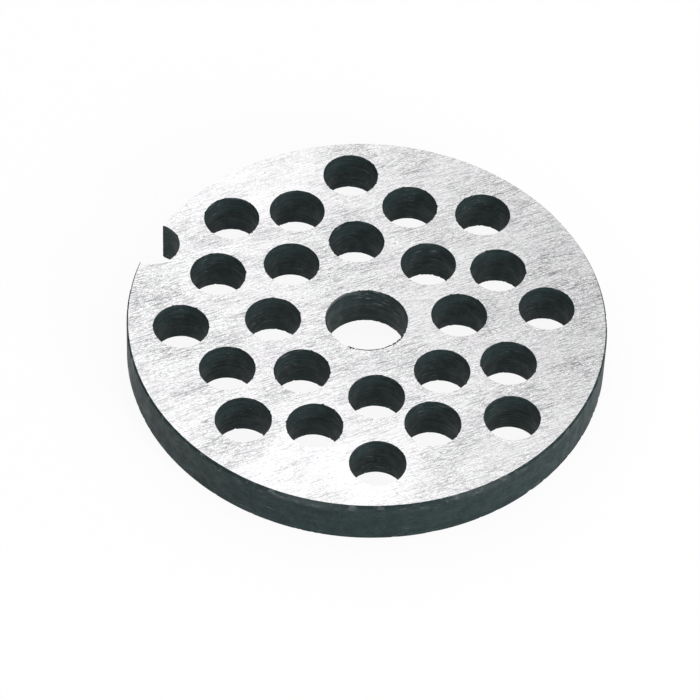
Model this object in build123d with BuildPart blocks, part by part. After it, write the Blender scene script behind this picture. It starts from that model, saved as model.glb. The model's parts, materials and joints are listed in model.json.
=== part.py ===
from build123d import *

import os

# A meat grinder plate: one flat disc of steel with a plain centre bore for the screw's stud, three rings
# of drilled grinding holes and one round notch in its rim, which a stud in the grinder's mouth holds.
# Its bottom face lies on z = 0, the bore's axis is the Z axis, and the notch points along -X.

# Disc, in millimetres
PLATE_DIAMETER = 70.0
PLATE_THICKNESS = 7.0
RIM_EDGE_BREAK = 0.15

# Centre bore, a running fit on the stud of the feed screw
BORE_DIAMETER = 12.0

# Grinding holes, all cut straight through by one drill that leaves a little over its own 8 mm
GRINDING_HOLE_DIAMETER = 8.2

# Drilling chart: each centre as (radius, angle), in millimetres from the bore's axis and degrees from +X.
# The layout is eight spokes, with an inner and an outer hole on each spoke and a middle hole between two
# spokes. The centres were punched by hand, so they stray from an even pattern by up to a millimetre.
INNER_RING = [
    (13.5, 29.2),
    (14.3, 74.7),
    (15.3, 119.5),
    (15.3, 160.3),
    (13.7, 204.7),
    (13.7, 250.5),
    (14.6, 299.2),
    (14.4, 342.6),
]
MIDDLE_RING = [
    (21.9, 3.1),
    (21.8, 51.6),
    (23.2, 97.9),
    (23.5, 140.0),
    (23.4, 183.0),
    (22.4, 229.6),
    (21.5, 273.4),
    (21.5, 319.7),
]
OUTER_RING = [
    (26.4, 30.1),
    (27.2, 74.6),
    (28.6, 118.7),
    (27.9, 159.8),
    (27.1, 207.9),
    (26.2, 251.3),
    (26.9, 297.0),
    (27.5, 342.9),
]

# Locating notch, a round bite out of the rim
NOTCH_DIAMETER = 8.0
NOTCH_CENTRE_RADIUS = 34.5
NOTCH_ANGLE = 180.0


def drilling_places(ring):
    """The locations of one ring's holes on the top face, from its (radius, angle) chart."""
    return [Location(Vector(radius, 0, 0).rotate(Axis.Z, angle)) for radius, angle in ring]


with BuildPart() as grinder_plate:
    # the blank, turned and parted off, with its two rim edges broken
    with BuildSketch(Plane.XY) as blank:
        Circle(PLATE_DIAMETER / 2)
    extrude(amount=PLATE_THICKNESS)
    chamfer(grinder_plate.edges().filter_by(GeomType.CIRCLE), length=RIM_EDGE_BREAK)

    # the bore on the plate's own axis
    Hole(BORE_DIAMETER / 2)

    # the grinding holes, ring by ring from the bore outwards
    for ring in (INNER_RING, MIDDLE_RING, OUTER_RING):
        with Locations(*drilling_places(ring)):
            Hole(GRINDING_HOLE_DIAMETER / 2)

    # the notch, whose centre lies just inside the rim
    with PolarLocations(NOTCH_CENTRE_RADIUS, 1, start_angle=NOTCH_ANGLE):
        Hole(NOTCH_DIAMETER / 2)

grinder_plate.part.label = "grinder_plate"

os.makedirs("parts", exist_ok=True)
export_step(grinder_plate.part, "parts/grinder_plate.step")
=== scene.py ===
import json
import math
import random

import bmesh
import bpy
from bpy.props import FloatProperty, FloatVectorProperty, IntProperty, PointerProperty
from mathutils import Matrix, Vector


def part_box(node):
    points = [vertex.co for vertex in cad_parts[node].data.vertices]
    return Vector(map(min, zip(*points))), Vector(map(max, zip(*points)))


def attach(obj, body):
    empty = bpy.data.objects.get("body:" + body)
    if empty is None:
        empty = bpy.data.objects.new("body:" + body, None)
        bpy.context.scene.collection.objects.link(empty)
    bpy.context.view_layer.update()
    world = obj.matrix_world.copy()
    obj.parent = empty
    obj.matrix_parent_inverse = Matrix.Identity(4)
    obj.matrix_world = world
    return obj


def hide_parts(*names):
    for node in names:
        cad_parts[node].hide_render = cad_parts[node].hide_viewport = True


bl_info = {
    "name": "Meat Grinder Plate",
    "version": (1, 0, 0),
    "blender": (4, 5, 0),
    "location": "3D View > Sidebar > Grinder Plate",
    "description": "Builds a drilled, hardened and ground hole plate on a pale studio floor",
    "category": "Add Mesh",
}

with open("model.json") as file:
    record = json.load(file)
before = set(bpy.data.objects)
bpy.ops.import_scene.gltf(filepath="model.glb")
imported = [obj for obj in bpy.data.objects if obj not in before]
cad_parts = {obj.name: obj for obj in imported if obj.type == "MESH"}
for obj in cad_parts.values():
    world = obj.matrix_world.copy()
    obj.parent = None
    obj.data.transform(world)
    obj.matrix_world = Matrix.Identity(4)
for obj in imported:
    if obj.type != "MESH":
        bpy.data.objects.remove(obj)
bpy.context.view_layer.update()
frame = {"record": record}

MM = 0.001
PLATE_LOW, PLATE_HIGH = (Vector(corner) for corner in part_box("grinder_plate"))
OPENINGS = {opening["name"]: opening["box_m"] for opening in frame["record"]["physics"]["openings"]}


def middle(name):
    """The middle of a stated opening, on the bottom face."""
    low, high = OPENINGS[name]
    return Vector(((low[0] + high[0]) / 2, (low[1] + high[1]) / 2, 0.0))


HOLE_PLACES = [middle(name) for name in OPENINGS if "hole" in name]


def on_top(x, y):
    """A place on the top face, from millimetres."""
    return (MM * x, MM * y, PLATE_HIGH.z)


# how near two heights are when they count as the same
NEARLY = 0.01 * MM

# how far below a face a cutter's mouth begins
MOUTH_LIP = 0.25 * MM

# corners round the disc and round each cutter
DISC_CORNERS = 640
TOOL_CORNERS = 96
REAMER_CORNERS = 192

# rings up each cutter, and cuts up the rim
DRILL_RINGS = 24
REAMER_RINGS = 26
MILL_RINGS = 18
RIM_CUTS = 9

# strengths of the walls' unevenness, and the strength of the mouths' nicks as a multiple of the rim's
RIM_DENT = 0.06 * MM
RIM_WANDER = 0.02 * MM
WALL_WANDER = 0.02 * MM
MOUTH_NICK_RATIO = 1.5

# painted highlights and painted shade on the ground face, drawn as fewer or more grinding lines: a place on
# the top face and a reach in millimetres, and a change; a negative change paints a highlight, a positive one
# paints shade
PAINTED_FACE_LIGHT = (
    ((-26, 19), 17, -0.55),
    ((8, -26), 20, -0.50),
    ((-28, -17), 22, 0.35),
    ((27, 15), 24, 0.38),
)

# bump heights: grinding lines, the grain of the scale and the torn ends of rings
LINE_RELIEF = 0.004 * MM
GRAIN_RELIEF = 0.006 * MM
TORN_RELIEF = 0.03 * MM

# tool marks in a wall: pitch up it, length along it, share of rubbed colour, height
TURNED_RINGS = (0.9 * MM, 9 * MM, 0.08, 0.012 * MM)
DRILLED_RINGS = (0.35 * MM, 5 * MM, 0.20, 0.02 * MM)

# where an edge is worn more: a place on the top face and a reach in millimetres, and a share
WORN_RIM = (((6, -34.5), 9, 0.16), ((27.6, -21.5), 7, 0.16))
WORN_BORE = (((-6, 1), 7, 0.7),)

# the height above which handling has rubbed the rim and the drilled walls
RIM_RUB_FROM = 5.4 * MM
WALL_RUB_FROM = 6.3 * MM

# tones of the ground face that are not settings: the violet bloom and the pits
BLOOM_TONE = (0.62, 0.56, 0.62)
PIT_TONE = (0.10, 0.10, 0.11)

# the camera's shift to its own right and its own up, from looking straight at the top face's middle
CAMERA_SIDE = -2.49 * MM
CAMERA_RISE = -4.397 * MM

# the lamps: name, place before the turn by the camera's azimuth, side length, power in watts
LAMPS = (
    ("back lamp", (-0.255, 0.701, 0.510), 0.5, 0.91),
    ("high lamp", (0, 0.205, 0.571), 0.2, 0.36),
    ("fill lamp", (0.55, -0.58, 0.32), 0.3, 4.2),
)


# ---------------------------------------------------------------- sizes and colours


class PlateSizes(bpy.types.PropertyGroup):
    """The plate's sizes, in metres."""

    diameter: FloatProperty(
        name="Diameter",
        description="Outside diameter of the plate",
        default=2 * PLATE_HIGH.x,
        unit="LENGTH",
        subtype="DISTANCE",
    )
    thickness: FloatProperty(
        name="Thickness",
        description="Thickness of the plate",
        default=PLATE_HIGH.z - PLATE_LOW.z,
        unit="LENGTH",
        subtype="DISTANCE",
    )
    rim_edge_break: FloatProperty(
        name="Rim edge break",
        description="Leg of the small chamfer on both rim edges",
        default=0.22 * MM,
        unit="LENGTH",
        subtype="DISTANCE",
    )
    edge_wear: FloatProperty(
        name="Edge wear",
        description="How much wider than the edge break the most worn part of the top edge is",
        default=0.20 * MM,
        unit="LENGTH",
        subtype="DISTANCE",
    )
    wear_side: FloatProperty(
        name="Wear side",
        description="Direction of the least worn part of the rim's top edge, counter-clockwise from +X",
        default=math.radians(112.0),
        subtype="ANGLE",
    )
    hole_diameter: FloatProperty(
        name="Hole diameter",
        description="Diameter of each grinding hole",
        default=8.2 * MM,
        unit="LENGTH",
        subtype="DISTANCE",
    )
    bore_diameter: FloatProperty(
        name="Bore diameter",
        description="Diameter of the centre bore, before its upper part is made oval",
        default=11.8 * MM,
        unit="LENGTH",
        subtype="DISTANCE",
    )
    bore_oval: FloatProperty(
        name="Bore oval",
        description="Width of the bore's upper part towards the wear side, as a share of its diameter",
        default=0.955,
        min=0.9,
        max=1.0,
    )
    notch_diameter: FloatProperty(
        name="Notch diameter",
        description="Diameter of the round locating notch",
        default=7.9 * MM,
        unit="LENGTH",
        subtype="DISTANCE",
    )
    notch_radius: FloatProperty(
        name="Notch radius",
        description="Distance from the bore's axis to the middle of the notch",
        default=34.5 * MM,
        unit="LENGTH",
        subtype="DISTANCE",
    )
    drill_mark: FloatProperty(
        name="Drill mark depth",
        description="Most that one ring left by the drill stands out of or into the wall",
        default=0.022 * MM,
        unit="LENGTH",
        subtype="DISTANCE",
    )
    nick: FloatProperty(
        name="Nick depth",
        description="Depth of the deepest nicks along the rim's edges",
        default=0.16 * MM,
        unit="LENGTH",
        subtype="DISTANCE",
    )
    seed: IntProperty(
        name="Seed",
        description="Starting number for the drill marks",
        default=7,
    )


class PlateFinish(bpy.types.PropertyGroup):
    """The plate's colours."""

    ground_steel: FloatVectorProperty(
        name="Ground steel",
        description="Colour of the freshly ground faces",
        default=(0.80, 0.80, 0.805),
        size=3,
        min=0.0,
        max=1.0,
        subtype="COLOR",
    )
    # the grinding lines are real marks; their colour is darker than steel, so it also paints the shade in
    # their grooves
    grinding_line_and_groove_shade: FloatVectorProperty(
        name="Grinding lines",
        description="Colour of the thin lines that the grinding wheel leaves",
        default=(0.12, 0.12, 0.13),
        size=3,
        min=0.0,
        max=1.0,
        subtype="COLOR",
    )
    grind_angle: FloatProperty(
        name="Grinding direction",
        description="Direction of the grinding lines, counter-clockwise from +X",
        default=math.radians(47.5),
        subtype="ANGLE",
    )
    scale_dark: FloatVectorProperty(
        name="Hardening scale",
        description="Colour of the dark scale that hardening leaves on the rim and in the holes",
        default=(0.008, 0.022, 0.022),
        size=3,
        min=0.0,
        max=1.0,
        subtype="COLOR",
    )
    scale_rubbed: FloatVectorProperty(
        name="Rubbed scale",
        description="Colour of the scale where handling has rubbed it thin",
        default=(0.062, 0.100, 0.103),
        size=3,
        min=0.0,
        max=1.0,
        subtype="COLOR",
    )
    bare_steel: FloatVectorProperty(
        name="Bare steel",
        description="Colour of the dull steel where the scale is gone",
        default=(0.20, 0.22, 0.22),
        size=3,
        min=0.0,
        max=1.0,
        subtype="COLOR",
    )


class StageLook(bpy.types.PropertyGroup):
    """The camera, the lamps and the floor."""

    azimuth: FloatProperty(
        name="Camera azimuth",
        description="Turn of the camera about the bore's axis, from the -Y side",
        default=math.radians(22.0),
        subtype="ANGLE",
    )
    elevation: FloatProperty(
        name="Camera elevation",
        description="Height of the camera over the plate, as an angle",
        default=math.radians(49.53),
        subtype="ANGLE",
    )
    roll: FloatProperty(
        name="Camera roll",
        description="Turn of the camera about its own view",
        default=math.radians(2.51),
        subtype="ANGLE",
    )
    distance: FloatProperty(
        name="Camera distance",
        description="Depth of the top face's middle in front of the camera",
        default=0.6728,
        unit="LENGTH",
        subtype="DISTANCE",
    )
    lens: FloatProperty(
        name="Focal length",
        description="Focal length in millimetres on a 36 mm sensor",
        default=237.65,
    )
    floor_colour: FloatVectorProperty(
        name="Floor",
        description="Colour of the floor",
        default=(0.85, 0.85, 0.85),
        size=3,
        min=0.0,
        max=1.0,
        subtype="COLOR",
    )
    shadow_share: FloatProperty(
        name="Shadow share",
        description="How much of the floor's brightness follows the lamps, and so shows the plate's shadow",
        default=0.08,
        min=0.0,
        max=1.0,
        subtype="FACTOR",
    )
    surroundings: FloatProperty(
        name="Surroundings",
        description="Strength of the even light from all around",
        default=0.75,
        min=0.0,
    )


# ---------------------------------------------------------------- modelling helpers


def clear_selection():
    """Leaves edit mode and deselects everything."""
    if bpy.context.mode != "OBJECT":
        bpy.ops.object.mode_set(mode="OBJECT")
    bpy.ops.object.select_all(action="DESELECT")


def make_active(piece):
    """Makes a piece the only selected object and the active one."""
    clear_selection()
    piece.select_set(True)
    bpy.context.view_layer.objects.active = piece


def pick_vertices(piece, test):
    """Selects, in edit mode, the vertices whose place passes the test."""
    bpy.ops.mesh.select_all(action="DESELECT")
    shape = bmesh.from_edit_mesh(piece.data)
    for vertex in shape.verts:
        vertex.select_set(test(vertex.co))
    shape.select_flush(True)
    bmesh.update_edit_mesh(piece.data)


def pick_edges(piece, test):
    """Selects, in edit mode, the edges whose two ends pass the test."""
    bpy.ops.mesh.select_all(action="DESELECT")
    shape = bmesh.from_edit_mesh(piece.data)
    for edge in shape.edges:
        edge.select_set(test(edge.verts[0].co, edge.verts[1].co))
    bmesh.update_edit_mesh(piece.data)


def pick_faces(piece, test):
    """Selects, in edit mode, the faces whose normal and middle pass the test."""
    bpy.ops.mesh.select_all(action="DESELECT")
    shape = bmesh.from_edit_mesh(piece.data)
    for face in shape.faces:
        face.select_set(test(face.normal, face.calc_center_median()))
    bmesh.update_edit_mesh(piece.data)


def mark_group(piece, name, test):
    """Puts the vertices whose place passes the test in a vertex group."""
    group = piece.vertex_groups.new(name=name)
    group.add([vertex.index for vertex in piece.data.vertices if test(vertex.co)], 1.0, "REPLACE")


def pick_group(name):
    """Selects, in edit mode, the vertices of one of the active piece's vertex groups."""
    bpy.ops.mesh.select_all(action="DESELECT")
    bpy.ops.object.vertex_group_set_active(group=name)
    bpy.ops.object.vertex_group_select()


def uneven(name, size, contrast, intensity=1.0):
    """A cloudy noise from 0 up for a Displace modifier; high contrast leaves only its peaks."""
    noise = bpy.data.textures.new(name, "CLOUDS")
    noise.noise_basis = "IMPROVED_PERLIN"
    noise.use_clamp = True
    noise.noise_scale = size
    noise.noise_depth = 2
    noise.contrast = contrast
    noise.intensity = intensity
    return noise


def displace(piece, noise, strength, group="", level=0.5):
    """Moves the surface in or out along its normals by the noise, and applies that."""
    make_active(piece)
    modifier = piece.modifiers.new("uneven", "DISPLACE")
    modifier.texture = noise
    modifier.texture_coords = "LOCAL"
    modifier.direction = "NORMAL"
    modifier.strength = strength
    modifier.mid_level = level
    modifier.vertex_group = group
    bpy.ops.object.modifier_apply(modifier=modifier.name)


def extrude_rings(profile, corners):
    """A turned solid about Z: a filled circle extruded from ring to ring of a (height, radius) profile."""
    clear_selection()
    height, radius = profile[0]
    bpy.ops.mesh.primitive_circle_add(
        vertices=corners, radius=radius, fill_type="NGON", location=(0, 0, height)
    )
    piece = bpy.context.object
    bpy.ops.object.transform_apply(location=True, rotation=True, scale=True)
    bpy.ops.object.mode_set(mode="EDIT")
    bpy.ops.mesh.select_all(action="SELECT")
    for next_height, next_radius in profile[1:]:
        bpy.ops.mesh.extrude_region_move(
            TRANSFORM_OT_translate={"value": (0, 0, next_height - height)}
        )
        ratio = next_radius / radius
        bpy.ops.transform.resize(value=(ratio, ratio, 1), center_override=(0, 0, next_height))
        height, radius = next_height, next_radius
    bpy.ops.mesh.select_all(action="SELECT")
    bpy.ops.mesh.normals_make_consistent(inside=False)
    bpy.ops.object.mode_set(mode="OBJECT")
    return piece


def copy_of(piece, place, turn=0.0, flip_height=None):
    """A copy with its own mesh, turned about Z, turned upside down about flip_height if given, and moved."""
    make_active(piece)
    bpy.ops.object.duplicate(linked=False)
    copy = bpy.context.object
    copy.location = place
    copy.rotation_euler.z = turn
    if flip_height is not None:
        copy.rotation_euler.x = math.pi
        copy.location.z += 2 * flip_height
    bpy.ops.object.transform_apply(location=True, rotation=True, scale=True)
    return copy


def cut(piece, cutter):
    """Takes the cutter out of the piece and deletes the cutter."""
    make_active(piece)
    modifier = piece.modifiers.new("cut", "BOOLEAN")
    modifier.operation = "DIFFERENCE"
    modifier.solver = "EXACT"
    modifier.object = cutter
    bpy.ops.object.modifier_apply(modifier=modifier.name)
    make_active(cutter)
    bpy.ops.object.delete()


# ---------------------------------------------------------------- materials


def add_node(tree, kind, **values):
    """Adds a shader node; a value is set on the socket of that name, or else on the node."""
    node = tree.nodes.new(kind)
    for name, value in values.items():
        label = name.replace("_", " ").title()
        if label in node.inputs:
            node.inputs[label].default_value = value
        else:
            setattr(node, name, value)
    return node


def new_material(name):
    """An empty node material with its Principled shader and output."""
    material = bpy.data.materials.new(name)
    material.use_nodes = True
    tree = material.node_tree
    tree.nodes.clear()
    shader = tree.nodes.new("ShaderNodeBsdfPrincipled")
    output = tree.nodes.new("ShaderNodeOutputMaterial")
    tree.links.new(shader.outputs["BSDF"], output.inputs["Surface"])
    return material, tree, shader


def stretched(tree, scale, turn=0.0):
    """Object coordinates turned about Z and then scaled along each axis."""
    place = add_node(tree, "ShaderNodeTexCoord")
    turned = add_node(tree, "ShaderNodeMapping", vector_type="POINT")
    turned.inputs["Rotation"].default_value = (0, 0, -turn)
    tree.links.new(place.outputs["Object"], turned.inputs["Vector"])
    sized = add_node(tree, "ShaderNodeMapping", vector_type="POINT")
    sized.inputs["Scale"].default_value = scale
    tree.links.new(turned.outputs["Vector"], sized.inputs["Vector"])
    return sized.outputs["Vector"]


def noise(tree, where, scale, detail, roughness, low, high):
    """Noise at a place, stretched so that low becomes 0 and high becomes 1."""
    node = add_node(tree, "ShaderNodeTexNoise", noise_dimensions="3D")
    node.inputs["Scale"].default_value = scale
    node.inputs["Detail"].default_value = detail
    node.inputs["Roughness"].default_value = roughness
    tree.links.new(where, node.inputs["Vector"])
    return spread(tree, node.outputs["Fac"], low, high)


def spot(tree, where, centre, radius):
    """A round soft spot: 1 at its centre, 0 from its radius outwards."""
    node = add_node(tree, "ShaderNodeVectorMath", operation="DISTANCE")
    tree.links.new(where, node.inputs[0])
    node.inputs[1].default_value = centre
    return spread(tree, node.outputs["Value"], radius, 0.0)


def spread(tree, value, low, high, out_low=0.0, out_high=1.0):
    """A value stretched smoothly from low..high to out_low..out_high."""
    node = add_node(tree, "ShaderNodeMapRange", interpolation_type="SMOOTHSTEP")
    tree.links.new(value, node.inputs["Value"])
    node.inputs["From Min"].default_value = low
    node.inputs["From Max"].default_value = high
    node.inputs["To Min"].default_value = out_low
    node.inputs["To Max"].default_value = out_high
    return node.outputs["Result"]


def spread_linear(tree, value, low, high):
    """A 0 to 1 value stretched evenly to low..high."""
    node = add_node(tree, "ShaderNodeMapRange")
    tree.links.new(value, node.inputs["Value"])
    node.inputs["To Min"].default_value = low
    node.inputs["To Max"].default_value = high
    return node.outputs["Result"]


def arithmetic(tree, operation, first, second):
    """One Math node on sockets or numbers."""
    node = add_node(tree, "ShaderNodeMath", operation=operation)
    for socket, value in zip(node.inputs, (first, second)):
        if isinstance(value, (int, float)):
            socket.default_value = value
        else:
            tree.links.new(value, socket)
    return node.outputs["Value"]


def blend_colours(tree, share, first, second):
    """Mixes two colours, given as sockets or as plain colours, by a share."""
    node = add_node(tree, "ShaderNodeMix", data_type="RGBA")
    tree.links.new(share, node.inputs["Factor"])
    for socket, colour in zip((node.inputs[6], node.inputs[7]), (first, second)):
        if isinstance(colour, bpy.types.NodeSocket):
            tree.links.new(colour, socket)
        else:
            socket.default_value = (*colour, 1.0)
    return node.outputs[2]


def bump(tree, height, distance, after=None):
    """A bump of a given real height, on top of an earlier one if given."""
    node = add_node(tree, "ShaderNodeBump")
    node.inputs["Distance"].default_value = distance
    tree.links.new(height, node.inputs["Height"])
    if after is not None:
        tree.links.new(after, node.inputs["Normal"])
    return node.outputs["Normal"]


def ground_face_material(finish):
    """Ground steel: bright metal, thin parallel grinding lines, cloudy patches, a few dark pits, and zones
    of painted highlight and painted shade.
    """
    material, tree, shader = new_material("ground steel face")
    turn = finish.grind_angle
    plain = stretched(tree, (1, 1, 1))
    # patches in which the lines stand out more
    patches = noise(
        tree, stretched(tree, (0.5, 1, 1), turn),
        scale=230, detail=3, roughness=0.6, low=0.36, high=0.66
    )
    depth = spread(tree, patches, 0, 1, 0.62, 1.0)
    # painted light: two zones with fewer lines paint broad highlights, and two zones towards the rim with
    # more lines paint shade
    for place, reach, painted_light_change in PAINTED_FACE_LIGHT:
        zone = spot(tree, plain, on_top(*place), MM * reach)
        factor = arithmetic(tree, "ADD", 1.0, arithmetic(tree, "MULTIPLY", zone, painted_light_change))
        depth = arithmetic(tree, "MULTIPLY", depth, factor)
    # hairlines, shorter dashes and the grain between them, and fewer long scratches, all drawn in the line
    # colour, which is partly the lines' own colour and partly painted shade in their grooves
    hairlines = noise(
        tree, stretched(tree, (0.07, 1, 1), turn),
        scale=6600, detail=2, roughness=0.6, low=0.46, high=0.66
    )
    dashes = noise(
        tree, stretched(tree, (0.25, 1, 1), turn),
        scale=6000, detail=2, roughness=0.6, low=0.46, high=0.68
    )
    grain = noise(tree, plain, scale=5400, detail=1, roughness=0.5, low=0.40, high=0.68)
    scratches = noise(
        tree, stretched(tree, (0.025, 1, 1), turn),
        scale=3400, detail=1, roughness=0.5, low=0.64, high=0.74
    )
    colour = finish.ground_steel
    for lines, share in ((hairlines, 0.62), (dashes, 0.60), (grain, 0.45), (scratches, 0.40)):
        part = arithmetic(tree, "MULTIPLY", arithmetic(tree, "MULTIPLY", lines, depth), share)
        colour = blend_colours(tree, part, colour, finish.grinding_line_and_groove_shade)
    # a faint warm violet bloom in cloudy patches
    bloom = noise(tree, plain, scale=140, detail=3, roughness=0.65, low=0.52, high=0.72)
    bloom = arithmetic(tree, "MULTIPLY", bloom, 0.25)
    colour = blend_colours(tree, bloom, colour, BLOOM_TONE)
    # pits that the grinding has not reached
    pits = noise(
        tree, stretched(tree, (0.5, 1, 1), turn),
        scale=3600, detail=1, roughness=0.5, low=0.74, high=0.80
    )
    colour = blend_colours(tree, pits, colour, PIT_TONE)
    tree.links.new(colour, shader.inputs["Base Color"])
    shader.inputs["Metallic"].default_value = 1.0
    tree.links.new(spread(tree, patches, 0, 1, 0.28, 0.36), shader.inputs["Roughness"])
    relief = bump(tree, arithmetic(tree, "SUBTRACT", 1.0, hairlines), LINE_RELIEF)
    relief = bump(tree, arithmetic(tree, "SUBTRACT", 1.0, dashes), LINE_RELIEF, after=relief)
    tree.links.new(relief, shader.inputs["Normal"])
    return material


def scale_material(name, finish, ring_marks, gloss, rub_from, worn_spots):
    """Dark hardening scale with tool marks running round the wall.

    ring_marks holds the marks' pitch up the wall, their length along it, their share of rubbed colour
    and their height. The edge is rubbed from the height rub_from up to the top face, and more in the
    worn spots, each a place and a reach in millimetres and a share.
    """
    ring_pitch, ring_length, ring_share, ring_height = ring_marks
    material, tree, shader = new_material(name)
    plain = stretched(tree, (1, 1, 1))
    along = stretched(tree, (ring_pitch / ring_length, ring_pitch / ring_length, 1))
    rings = noise(tree, along, scale=1 / ring_pitch, detail=2, roughness=0.6, low=0.35, high=0.65)
    cloud = noise(tree, plain, scale=600, detail=4, roughness=0.65, low=0.35, high=0.68)
    grain = noise(tree, plain, scale=4800, detail=1, roughness=0.5, low=0.40, high=0.70)
    darker = tuple(0.72 * part for part in finish.scale_dark)
    colour = blend_colours(tree, cloud, darker, finish.scale_dark)
    rubbed_rings = arithmetic(tree, "MULTIPLY", rings, ring_share)
    colour = blend_colours(tree, rubbed_rings, colour, finish.scale_rubbed)
    rubbed_grain = arithmetic(tree, "MULTIPLY", grain, 0.16)
    colour = blend_colours(tree, rubbed_grain, colour, finish.scale_rubbed)
    # bright ends of rings, where the tool has torn the steel, and flecks of lost scale
    torn = noise(
        tree, stretched(tree, (0.09, 0.09, 1)),
        scale=6500, detail=1, roughness=0.5, low=0.62, high=0.72
    )
    where = noise(
        tree, stretched(tree, (1, 1, 0.6)), scale=300, detail=2, roughness=0.5, low=0.50, high=0.66
    )
    torn = arithmetic(tree, "MULTIPLY", torn, where)
    bare = arithmetic(tree, "MULTIPLY", torn, 5 * ring_share)
    colour = blend_colours(tree, bare, colour, finish.bare_steel)
    flecks = noise(
        tree, stretched(tree, (1, 1, 1.6)), scale=2600, detail=2, roughness=0.6, low=0.70, high=0.78
    )
    flecks = arithmetic(tree, "MULTIPLY", flecks, 0.5)
    colour = blend_colours(tree, flecks, colour, finish.bare_steel)
    # the top edge, rubbed by handling
    axes = add_node(tree, "ShaderNodeSeparateXYZ")
    tree.links.new(plain, axes.inputs["Vector"])
    edge = spread(tree, axes.outputs["Z"], rub_from, PLATE_HIGH.z)
    patch = noise(
        tree, stretched(tree, (0.6, 0.6, 1)),
        scale=1000, detail=4, roughness=0.7, low=0.50, high=0.70
    )
    worn = arithmetic(tree, "MULTIPLY", patch, 0.5)
    for place, reach, share in worn_spots:
        zone = spot(tree, plain, on_top(*place), MM * reach)
        worn = arithmetic(tree, "ADD", worn, arithmetic(tree, "MULTIPLY", zone, share))
    edge = arithmetic(tree, "MULTIPLY", edge, worn)
    colour = blend_colours(tree, edge, colour, finish.bare_steel)
    tree.links.new(colour, shader.inputs["Base Color"])
    shader.inputs["Specular IOR Level"].default_value = 0.22 + gloss
    rough = spread(tree, cloud, 0, 1, 0.66 - gloss / 2, 0.54 - gloss / 2)
    rough = arithmetic(tree, "SUBTRACT", rough, arithmetic(tree, "MULTIPLY", torn, 0.15))
    tree.links.new(rough, shader.inputs["Roughness"])
    relief = bump(tree, rings, ring_height)
    relief = bump(tree, grain, GRAIN_RELIEF, after=relief)
    relief = bump(tree, torn, TORN_RELIEF, after=relief)
    tree.links.new(relief, shader.inputs["Normal"])
    return material


# ---------------------------------------------------------------- the plate


def turn_disc(sizes):
    """The turned disc, with both rim edges broken, nicked and worn, and both faces ground flat."""
    thickness = sizes.thickness
    faces = (("bottom face", 0.0), ("top face", thickness))
    clear_selection()
    bpy.ops.mesh.primitive_cylinder_add(
        vertices=DISC_CORNERS,
        radius=sizes.diameter / 2,
        depth=thickness,
        end_fill_type="NGON",
        location=(0, 0, thickness / 2),
    )
    plate = bpy.context.object
    plate.name = plate.data.name = "ground_plate"
    bpy.ops.object.transform_apply(location=True, rotation=True, scale=True)
    bpy.ops.object.mode_set(mode="EDIT")
    pick_edges(plate, lambda a, b: abs(a.z - b.z) < NEARLY)
    bpy.ops.mesh.bevel(offset=sizes.rim_edge_break, segments=1, affect="EDGES")
    side = Vector((math.cos(sizes.wear_side), math.sin(sizes.wear_side), 0))
    pick_vertices(plate, lambda co: co.z > thickness - NEARLY)
    bpy.ops.transform.translate(value=sizes.edge_wear * side)
    wall = thickness - 2 * sizes.rim_edge_break - NEARLY
    pick_edges(plate, lambda a, b: abs(a.z - b.z) > wall)
    bpy.ops.mesh.subdivide(number_cuts=RIM_CUTS)
    bpy.ops.object.mode_set(mode="OBJECT")
    break_height = sizes.rim_edge_break + NEARLY
    mark_group(plate, "edges", lambda co: not break_height <= co.z <= thickness - break_height)
    for group, face_height in faces:
        mark_group(plate, group, lambda co: abs(co.z - face_height) < NEARLY)
    displace(plate, uneven("rim nicks", 0.5 * MM, 5.0, 0.06), -sizes.nick, "edges", 0.0)
    displace(plate, uneven("rim dents", 2.2 * MM, 5.0, 0.03), -RIM_DENT, level=0.0)
    displace(plate, uneven("rim wander", 5 * MM, 1.0), -RIM_WANDER, level=0.0)
    # both faces are ground flat again
    make_active(plate)
    bpy.ops.object.mode_set(mode="EDIT")
    for group, face_height in faces:
        pick_group(group)
        bpy.ops.transform.resize(value=(1, 1, 0), center_override=(0, 0, face_height))
    bpy.ops.object.mode_set(mode="OBJECT")
    return plate


def tool_profile(chance, radius, thickness, mark, rings, flare=0.0):
    """(height, radius) of a cutter that leaves uneven rings in the wall; a flare widens both mouths."""
    # the mouth has its full width from just past each face to the cutter's end, well clear of it
    over = 0.06 * MM
    clear = 0.5 * MM
    profile = [(-clear, radius + flare), (-over, radius + flare), (MOUTH_LIP, radius)]
    for step in range(1, rings):
        height = MOUTH_LIP + (thickness - 2 * MOUTH_LIP) * step / rings
        profile.append((height, radius + chance.uniform(-mark, mark)))
    profile += [
        (thickness - MOUTH_LIP, radius),
        (thickness + over, radius + flare),
        (thickness + clear, radius + flare),
    ]
    return profile


def replace_by_copy(tool, place, turn=0.0):
    """A placed copy of a tool, which is then deleted."""
    copy = copy_of(tool, place, turn)
    make_active(tool)
    bpy.ops.object.delete()
    return copy


def drill_cutters(sizes, chance):
    """One drill, copied to every grinding hole; each copy is turned and every other one upside down."""
    thickness = sizes.thickness
    radius = sizes.hole_diameter / 2
    profile = tool_profile(chance, radius, thickness, sizes.drill_mark, DRILL_RINGS)
    drill = extrude_rings(profile, TOOL_CORNERS)
    cutters = []
    for number, place in enumerate(HOLE_PLACES):
        flip = thickness / 2 if number % 2 else None
        cutters.append(copy_of(drill, place, chance.uniform(0, math.tau), flip))
    make_active(drill)
    bpy.ops.object.delete()
    return cutters


def deep_worn(co):
    """Whether a place on the reamer is where the bore's mouth is worn deepest."""
    return -2.6 * MM < co.x < 4.9 * MM and co.y > 0


def wide_worn(co):
    """Whether a place on the reamer is where the bore's mouth is worn widest."""
    return co.x < -2.6 * MM and co.y < 2.6 * MM


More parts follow.
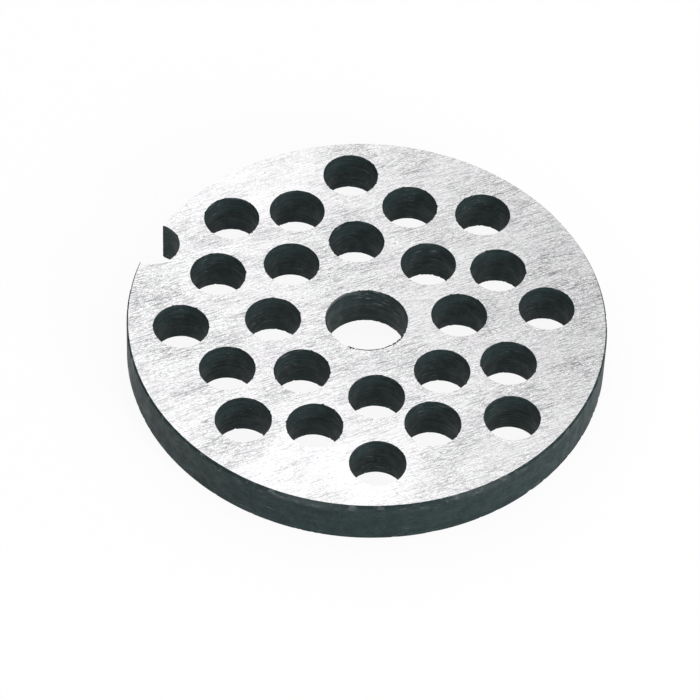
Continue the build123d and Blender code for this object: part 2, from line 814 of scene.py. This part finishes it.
def reamer_cutter(sizes, chance):
    """The reamer for the bore: mouths worn a little wide, the upper part a little oval."""
    thickness = sizes.thickness
    radius = sizes.bore_diameter / 2
    mark = 0.8 * sizes.drill_mark
    flare = 0.1 * MM
    profile = tool_profile(chance, radius, thickness, mark, REAMER_RINGS, flare)
    reamer = extrude_rings(profile, REAMER_CORNERS)
    bpy.ops.object.mode_set(mode="EDIT")
    # the oval grows in equal steps up the bore; the final turn brings its short width to wear_side
    oval_steps = (0.2, 0.4, 0.6)
    oval = sizes.bore_oval ** (1 / len(oval_steps))
    for share in oval_steps:
        pick_vertices(reamer, lambda co: co.z > share * thickness)
        bpy.ops.transform.resize(value=(oval, 1, 1), center_override=(0, 0, 0))
    # the two worn parts of the mouth: how far the lip goes down, and how far the mouth is widened
    lip = thickness - MOUTH_LIP
    brim = thickness - 0.08 * MM
    for worn, lip_drop, spill in (
        (deep_worn, 0.45 * MM, 0.12 * MM),
        (wide_worn, -0.15 * MM, 0.30 * MM),
    ):
        pick_vertices(reamer, lambda co: abs(co.z - lip) < NEARLY and worn(co))
        bpy.ops.transform.translate(value=(0, 0, -lip_drop))
        pick_vertices(reamer, lambda co: co.z > brim and worn(co))
        ratio = 1 + spill / radius
        bpy.ops.transform.resize(value=(ratio, ratio, 1), center_override=(0, 0, 0))
    bpy.ops.object.mode_set(mode="OBJECT")
    return replace_by_copy(reamer, Vector((0, 0, 0)), sizes.wear_side)


def mill_cutter(sizes, chance):
    """The mill for the notch, which is as wide as the notch itself."""
    radius = sizes.notch_diameter / 2
    mark = 0.5 * sizes.drill_mark
    profile = tool_profile(chance, radius, sizes.thickness, mark, MILL_RINGS)
    mill = extrude_rings(profile, TOOL_CORNERS)
    return replace_by_copy(mill, Vector((-sizes.notch_radius, 0, 0)))


def join_cutters(cutters, sizes):
    """All cutters as one piece, with nicked mouths and walls that wander a little."""
    clear_selection()
    for cutter in cutters:
        cutter.select_set(True)
    bpy.context.view_layer.objects.active = cutters[0]
    bpy.ops.object.join()
    cutter = bpy.context.object
    mouth = 0.1 * MM
    mark_group(
        cutter,
        "mouths",
        lambda co: abs(co.z) < mouth or abs(co.z - sizes.thickness) < mouth,
    )
    nicks = uneven("mouth nicks", 0.4 * MM, 5.0, 0.14)
    displace(cutter, nicks, MOUTH_NICK_RATIO * sizes.nick, "mouths", 0.0)
    displace(cutter, uneven("wall wander", 1.6 * MM, 1.0), WALL_WANDER)
    return cutter


def finish_plate(plate, sizes, finish):
    """Gives the faces, the rim and the drilled walls their materials, and the faces keen edges."""
    for material in (
        ground_face_material(finish),
        scale_material("hardened rim", finish, TURNED_RINGS, 0.0, RIM_RUB_FROM, WORN_RIM),
        scale_material("drilled wall", finish, DRILLED_RINGS, 0.02, WALL_RUB_FROM, WORN_BORE),
    ):
        plate.data.materials.append(material)
    face_slot, rim_slot, wall_slot = range(3)
    make_active(plate)
    bpy.ops.object.mode_set(mode="EDIT")
    bpy.ops.mesh.select_all(action="SELECT")
    plate.active_material_index = wall_slot
    bpy.ops.object.material_slot_assign()
    # the rim's faces look outwards near the outside radius, and the ground ones straight up or down
    rim_radius = sizes.diameter / 2 - 0.5 * MM
    straight = 0.97
    smooth_angle = math.radians(32)
    pick_faces(
        plate,
        lambda normal, co: math.hypot(co.x, co.y) > rim_radius
        and normal.x * co.x + normal.y * co.y > 0,
    )
    plate.active_material_index = rim_slot
    bpy.ops.object.material_slot_assign()
    pick_faces(plate, lambda normal, co: abs(normal.z) > straight)
    plate.active_material_index = face_slot
    bpy.ops.object.material_slot_assign()
    # the grinding leaves a keen edge all round both faces
    bpy.ops.mesh.region_to_loop()
    bpy.ops.mesh.mark_sharp()
    bpy.ops.object.mode_set(mode="OBJECT")
    bpy.ops.object.shade_smooth_by_angle(angle=smooth_angle, keep_sharp_edges=True)


class GRINDER_OT_plate(bpy.types.Operator):
    """Model the plate: turned disc, drilled holes, bore, notch, edges and finishes"""

    bl_idname = "grinder.add_plate"
    bl_label = "Add Plate"

    def execute(self, context):
        sizes = context.scene.plate_sizes
        chance = random.Random(sizes.seed)
        plate = turn_disc(sizes)
        cutters = drill_cutters(sizes, chance)
        cutters.append(reamer_cutter(sizes, chance))
        cutters.append(mill_cutter(sizes, chance))
        cut(plate, join_cutters(cutters, sizes))
        if max(vertex.co.x for vertex in plate.data.vertices) < 0.99 * sizes.diameter / 2:
            raise RuntimeError("the plate's holes could not be cut")
        finish_plate(plate, sizes, context.scene.plate_finish)

        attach(plate, "root")
        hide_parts("grinder_plate")
        return {"FINISHED"}


# ---------------------------------------------------------------- the stage


def add_lamp(name, location, aim, size, power):
    """A square soft lamp at a place, facing a point."""
    facing = (Vector(aim) - Vector(location)).to_track_quat("-Z", "Y").to_euler()
    bpy.ops.object.light_add(type="AREA", location=location, rotation=facing)
    lamp = bpy.context.object
    lamp.name = name
    lamp.data.shape = "SQUARE"
    lamp.data.size = size
    lamp.data.energy = power


def seen_directly(tree):
    """1 for camera, mirror and see-through rays, 0 for the rays that carry soft light."""
    path = add_node(tree, "ShaderNodeLightPath")
    seen = arithmetic(tree, "MAXIMUM", path.outputs["Is Camera Ray"], path.outputs["Is Glossy Ray"])
    return arithmetic(tree, "MAXIMUM", seen, path.outputs["Is Transmission Ray"])


def floor_material(look):
    """Pale for soft light, and seen as white apart from the plate's shadow."""
    material = bpy.data.materials.new("pale floor")
    material.use_nodes = True
    tree = material.node_tree
    tree.nodes.clear()
    soft = add_node(tree, "ShaderNodeBsdfDiffuse")
    soft.inputs["Color"].default_value = (*look.floor_colour, 1)
    shaded = add_node(tree, "ShaderNodeBsdfDiffuse")
    shaded.inputs["Color"].default_value = (look.shadow_share,) * 3 + (1,)
    even = add_node(tree, "ShaderNodeEmission")
    even.inputs["Strength"].default_value = 1 - look.shadow_share
    white = add_node(tree, "ShaderNodeAddShader")
    tree.links.new(shaded.outputs[0], white.inputs[0])
    tree.links.new(even.outputs[0], white.inputs[1])
    choose = add_node(tree, "ShaderNodeMixShader")
    tree.links.new(seen_directly(tree), choose.inputs[0])
    tree.links.new(soft.outputs[0], choose.inputs[1])
    tree.links.new(white.outputs[0], choose.inputs[2])
    output = add_node(tree, "ShaderNodeOutputMaterial")
    tree.links.new(choose.outputs[0], output.inputs["Surface"])
    return material


def add_floor(look):
    """The flat floor under the plate."""
    clear_selection()
    bpy.ops.mesh.primitive_grid_add(
        x_subdivisions=8, y_subdivisions=8, size=6.0, location=(0, 0, 0)
    )
    floor = bpy.context.object
    floor.name = "floor"
    floor.data.materials.append(floor_material(look))


def add_camera(scene, look, top):
    """The scene's camera, turned about the plate and looking down on it."""
    turn = (
        Matrix.Rotation(look.azimuth, 3, "Z")
        @ Matrix.Rotation(math.pi / 2 - look.elevation, 3, "X")
        @ Matrix.Rotation(look.roll, 3, "Z")
    )
    stand = top + turn @ Vector((CAMERA_SIDE, CAMERA_RISE, look.distance))
    clear_selection()
    bpy.ops.object.camera_add(location=stand, rotation=turn.to_euler())
    camera = bpy.context.object
    camera.data.lens = look.lens
    camera.data.sensor_width = 36.0
    camera.data.clip_start = 0.01
    scene.camera = camera


def add_surroundings(scene, look):
    """An even world: white where it is seen, softer as light."""
    world = bpy.data.worlds.new("studio")
    scene.world = world
    world.use_nodes = True
    tree = world.node_tree
    tree.nodes.clear()
    strength = spread_linear(tree, seen_directly(tree), look.surroundings, 1.0)
    backdrop = add_node(tree, "ShaderNodeBackground")
    tree.links.new(strength, backdrop.inputs["Strength"])
    output = add_node(tree, "ShaderNodeOutputWorld")
    tree.links.new(backdrop.outputs[0], output.inputs["Surface"])


class GRINDER_OT_stage(bpy.types.Operator):
    """Set up the pale floor, the surroundings, the soft lamps and the camera"""

    bl_idname = "grinder.add_stage"
    bl_label = "Add Stage"

    def execute(self, context):
        scene = context.scene
        look = scene.stage_look
        scene.view_settings.view_transform = "Standard"
        top = Vector((0, 0, scene.plate_sizes.thickness))
        add_camera(scene, look, top)
        add_floor(look)
        add_surroundings(scene, look)
        # a large soft lamp behind at the left, a small high one, and a fill in front at the right
        side = Matrix.Rotation(look.azimuth, 3, "Z")
        for name, place, size, power in LAMPS:
            add_lamp(name, side @ Vector(place), top, size, power)
        return {"FINISHED"}


# ---------------------------------------------------------------- panel and registration


class GRINDER_PT_panel(bpy.types.Panel):
    """Lists the steps that build the grinder plate"""

    bl_label = "Grinder Plate"
    bl_idname = "GRINDER_PT_panel"
    bl_space_type = "VIEW_3D"
    bl_region_type = "UI"
    bl_category = "Grinder Plate"

    def draw(self, context):
        layout = self.layout
        layout.operator(GRINDER_OT_stage.bl_idname)
        layout.operator(GRINDER_OT_plate.bl_idname)
        for group in ("plate_sizes", "plate_finish", "stage_look"):
            settings = getattr(context.scene, group)
            box = layout.box()
            for name in settings.__annotations__:
                box.prop(settings, name)


CLASSES = (
    PlateSizes,
    PlateFinish,
    StageLook,
    GRINDER_OT_plate,
    GRINDER_OT_stage,
    GRINDER_PT_panel,
)


def register():
    for each in CLASSES:
        bpy.utils.register_class(each)
    bpy.types.Scene.plate_sizes = PointerProperty(type=PlateSizes)
    bpy.types.Scene.plate_finish = PointerProperty(type=PlateFinish)
    bpy.types.Scene.stage_look = PointerProperty(type=StageLook)


def unregister():
    del bpy.types.Scene.stage_look
    del bpy.types.Scene.plate_finish
    del bpy.types.Scene.plate_sizes
    for each in reversed(CLASSES):
        bpy.utils.unregister_class(each)


def main():
    register()
    bpy.ops.grinder.add_stage()
    bpy.ops.grinder.add_plate()


if __name__ == "__main__":
    main()
